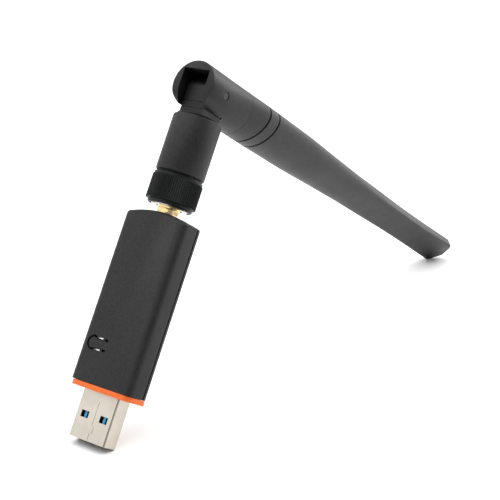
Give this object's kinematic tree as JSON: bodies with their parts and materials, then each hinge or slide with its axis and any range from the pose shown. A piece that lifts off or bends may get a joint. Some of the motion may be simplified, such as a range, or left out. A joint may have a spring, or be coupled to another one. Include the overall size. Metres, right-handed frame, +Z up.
{
  "type": "usb wifi adapter",
  "caption": "USB wireless network stick with an orange end ring, a push tab, a gold coaxial jack and a knurled, swivelling, folding paddle antenna",
  "frame": {"origin": "centre of the bounding box in X and Y, on the surface it stands on in Z", "axes": "+X from the USB plug's foot toward the antenna's tip, +Y across the broad face toward the push tab's side, +Z up; the stick leans 59.4 degrees from the floor toward +X"},
  "size_m": [0.1842, 0.02, 0.0902],
  "materials": {
    "case_plastic": "satin moulded black",
    "grip_plastic": "knurled black",
    "orange_plastic": "semi-gloss",
    "plug_steel": "satin nickel plate",
    "blue_plastic": "satin",
    "gold": "gold plated",
    "nickel": "bright nickel",
    "brass": "drawn",
    "white_insulator": "waxy",
    "circuit_board": "solder mask",
    "black_component": "moulded",
    "ceramic": "fired",
    "cable": "smooth"
  },
  "bodies": {
    "adapter_body": {"front_shell": "case_plastic", "back_shell": "case_plastic", "end_bezel": "orange_plastic", "usb_plug_shell": "plug_steel", "rf_shield": "plug_steel", "crystal_can": "plug_steel", "tact_switch_body": "plug_steel", "usb_insulator": "blue_plastic", "sma_jack_body": "gold", "jack_contact": "gold", "usb_contact_1": "gold", "usb_contact_2": "gold", "usb_contact_3": "gold", "usb_contact_4": "gold", "usb_fast_contact_1": "gold", "usb_fast_contact_2": "gold", "usb_fast_contact_3": "gold", "usb_fast_contact_4": "gold", "usb_fast_contact_5": "gold", "jack_insulator": "white_insulator", "main_board": "circuit_board", "wifi_chip": "black_component", "flash_chip": "black_component", "power_inductor": "black_component", "capacitor_1": "ceramic", "capacitor_2": "ceramic", "capacitor_3": "ceramic"},
    "push_tab": {"wps_button": "case_plastic", "tact_switch_plunger": "black_component"},
    "coupling_nut": {"nut_grip": "grip_plastic", "nut_insert": "nickel"},
    "antenna_base": {"base_sleeve": "case_plastic", "plug_ferrule": "nickel", "plug_insulator": "white_insulator", "coax_lower": "cable", "hinge_knuckle": "case_plastic"},
    "mast": {"mast_fork": "case_plastic", "mast_barrel": "case_plastic", "mast_collar": "case_plastic", "mast_cover": "case_plastic", "coax_upper": "cable", "dipole_sleeve": "brass", "radiator_rod": "brass", "hinge_pin": "black_component"}
  },
  "joints": [
    {"name": "wps_press", "type": "hinge", "parent": "adapter_body", "child": "push_tab", "pos_m": [-0.08132, 0.0016, 0.02348], "axis": [-0.509, 0, -0.8607], "range_deg": [0, 4], "stiffness_Nm_per_rad": 0.1, "springref_deg": -2.01},
    {"name": "nut_turn", "type": "hinge", "parent": "antenna_base", "child": "coupling_nut", "pos_m": [-0.05667, 0, 0.0577], "axis": [0.509, 0, 0.8607], "continuous": true},
    {"name": "antenna_swivel", "type": "hinge", "parent": "adapter_body", "child": "antenna_base", "pos_m": [-0.05448, 0, 0.0614], "axis": [0.509, 0, 0.8607], "continuous": true},
    {"name": "elbow", "type": "hinge", "parent": "antenna_base", "child": "mast", "pos_m": [-0.04267, 0, 0.08137], "axis": [0, -1, 0], "range_deg": [0, 90]}
  ]
}
